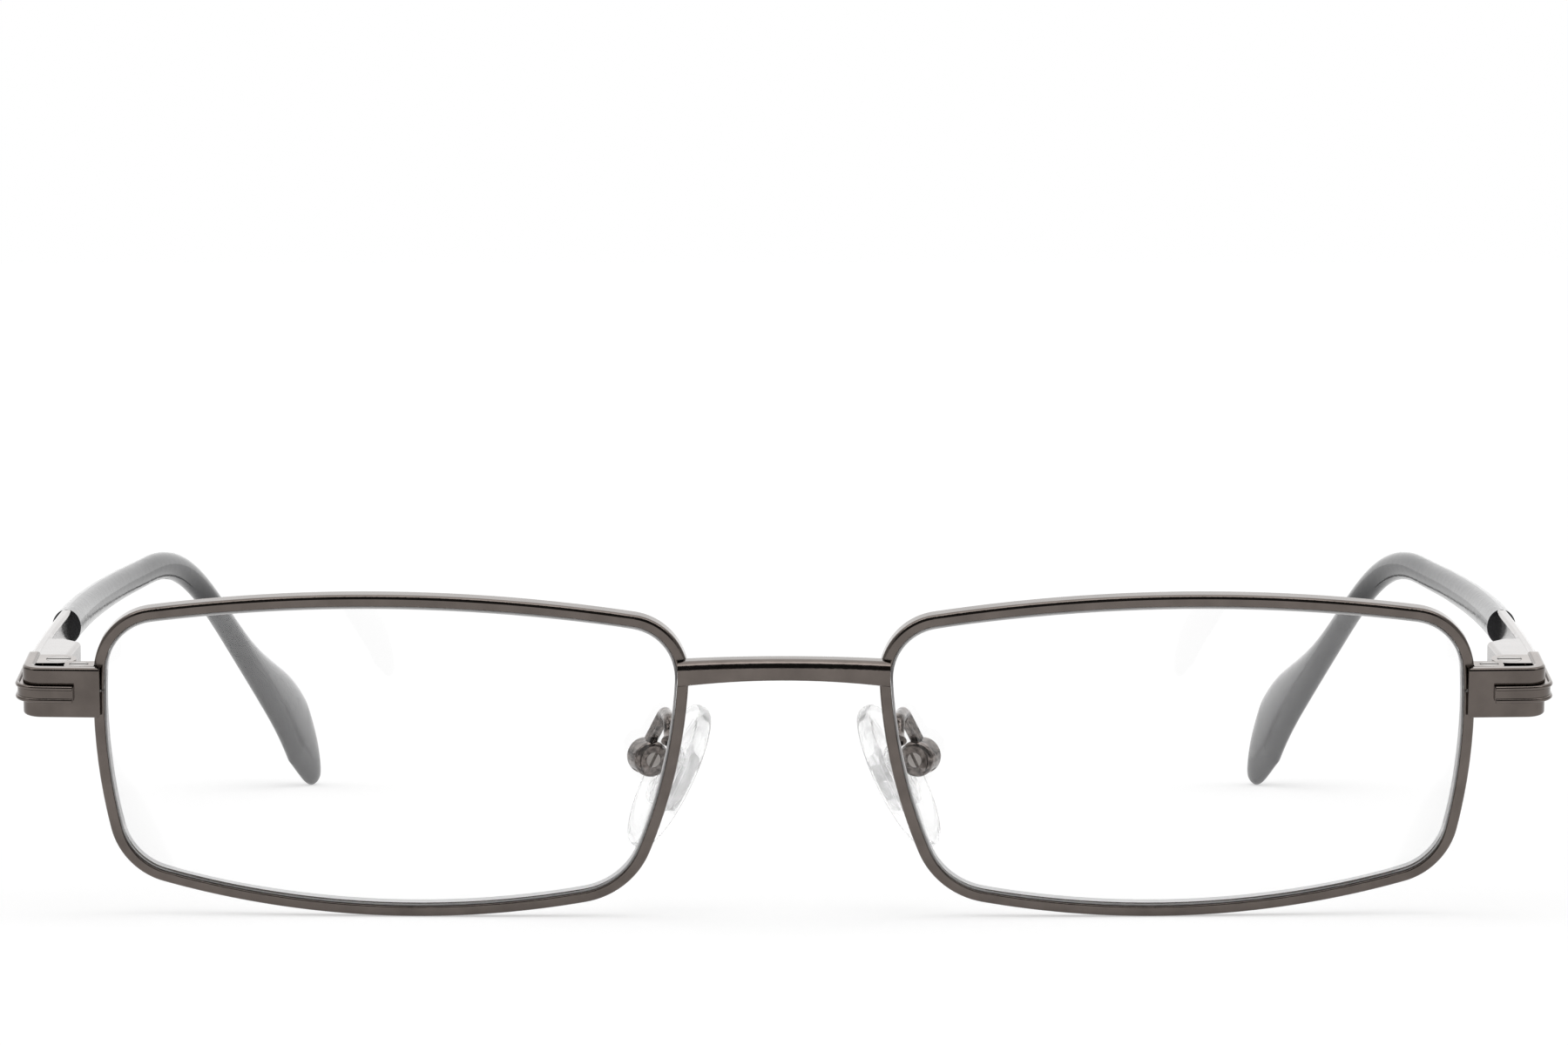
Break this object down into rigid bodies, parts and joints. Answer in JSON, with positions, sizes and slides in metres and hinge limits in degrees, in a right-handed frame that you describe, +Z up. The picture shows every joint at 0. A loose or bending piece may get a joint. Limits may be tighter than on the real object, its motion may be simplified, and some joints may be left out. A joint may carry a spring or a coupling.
{
  "type": "rectangular eyeglasses",
  "caption": "Full-rim rectangular metal eyeglasses with clear lenses, spring-hinged temples, long dark sleeves and adjustable clear nose pads",
  "frame": {"origin": "middle of the bounding box at floor level, with the glasses standing open on both rims and both temple tips", "axes": "+X to the wearer's left, across both lenses; +Y back along the temples to the tips; +Z up from the floor"},
  "size_m": [0.1428, 0.1368, 0.03],
  "materials": {
    "rim_metal": "semi-gloss dark gunmetal plating",
    "temple_metal": "glossy gunmetal plating",
    "bright_metal": "satin gunmetal",
    "screw": "bright steel",
    "lens": "clear and polished",
    "sleeve": "glossy dark grey acetate",
    "pad_insert": "clear and hard",
    "nose_pad": "clear soft silicone"
  },
  "bodies": {
    "front": {"bridge": "rim_metal", "rim_left": "rim_metal", "lens_left": "lens", "end_piece_left": "rim_metal", "closing_block_upper_left": "rim_metal", "closing_block_lower_left": "rim_metal", "rim_screw_left": "screw", "hinge_lug_left": "bright_metal", "hinge_screw_left": "screw", "pad_arm_left": "bright_metal", "pad_screw_left": "screw", "rim_right": "rim_metal", "lens_right": "lens", "end_piece_right": "rim_metal", "closing_block_upper_right": "rim_metal", "closing_block_lower_right": "rim_metal", "rim_screw_right": "screw", "hinge_lug_right": "bright_metal", "hinge_screw_right": "screw", "pad_arm_right": "bright_metal", "pad_screw_right": "screw"},
    "tongue_left": {"hinge_tongue_left": "bright_metal", "hinge_spring_left": "screw", "spring_stop_left": "screw"},
    "temple_left": {"spring_box_left": "temple_metal", "temple_band_left": "temple_metal", "temple_sleeve_left": "sleeve"},
    "pad_left": {"pad_insert_left": "pad_insert", "nose_pad_left": "nose_pad"},
    "tongue_right": {"hinge_tongue_right": "bright_metal", "hinge_spring_right": "screw", "spring_stop_right": "screw"},
    "temple_right": {"spring_box_right": "temple_metal", "temple_band_right": "temple_metal", "temple_sleeve_right": "sleeve"},
    "pad_right": {"pad_insert_right": "pad_insert", "nose_pad_right": "nose_pad"}
  },
  "joints": [
    {"name": "fold_left", "type": "hinge", "parent": "front", "child": "tongue_left", "pos_m": [0.0667, -0.05875, 0.02156], "axis": [0, -0.1645, 0.9864], "range_deg": [-8, 84]},
    {"name": "spring_left", "type": "slide", "parent": "tongue_left", "child": "temple_left", "axis": [0, 0.9984, 0.057], "range_m": [0, 0.0012], "stiffness_N_per_m": 1500, "springref_m": -0.001, "deforming": ["hinge_spring_left"]},
    {"name": "pad_left", "type": "hinge", "parent": "front", "child": "pad_left", "pos_m": [0.01256, -0.05753, 0.01415], "axis": [-0.4226, -0.894, -0.1491], "range_deg": [-10, 10]},
    {"name": "fold_right", "type": "hinge", "parent": "front", "child": "tongue_right", "pos_m": [-0.0667, -0.05875, 0.02156], "axis": [0, 0.1645, -0.9864], "range_deg": [-8, 78]},
    {"name": "spring_right", "type": "slide", "parent": "tongue_right", "child": "temple_right", "axis": [0, 0.9984, 0.057], "range_m": [0, 0.0012], "stiffness_N_per_m": 1500, "springref_m": -0.001, "deforming": ["hinge_spring_right"]},
    {"name": "pad_right", "type": "hinge", "parent": "front", "child": "pad_right", "pos_m": [-0.01256, -0.05753, 0.01415], "axis": [-0.4226, 0.894, 0.1491], "range_deg": [-10, 10]}
  ]
}
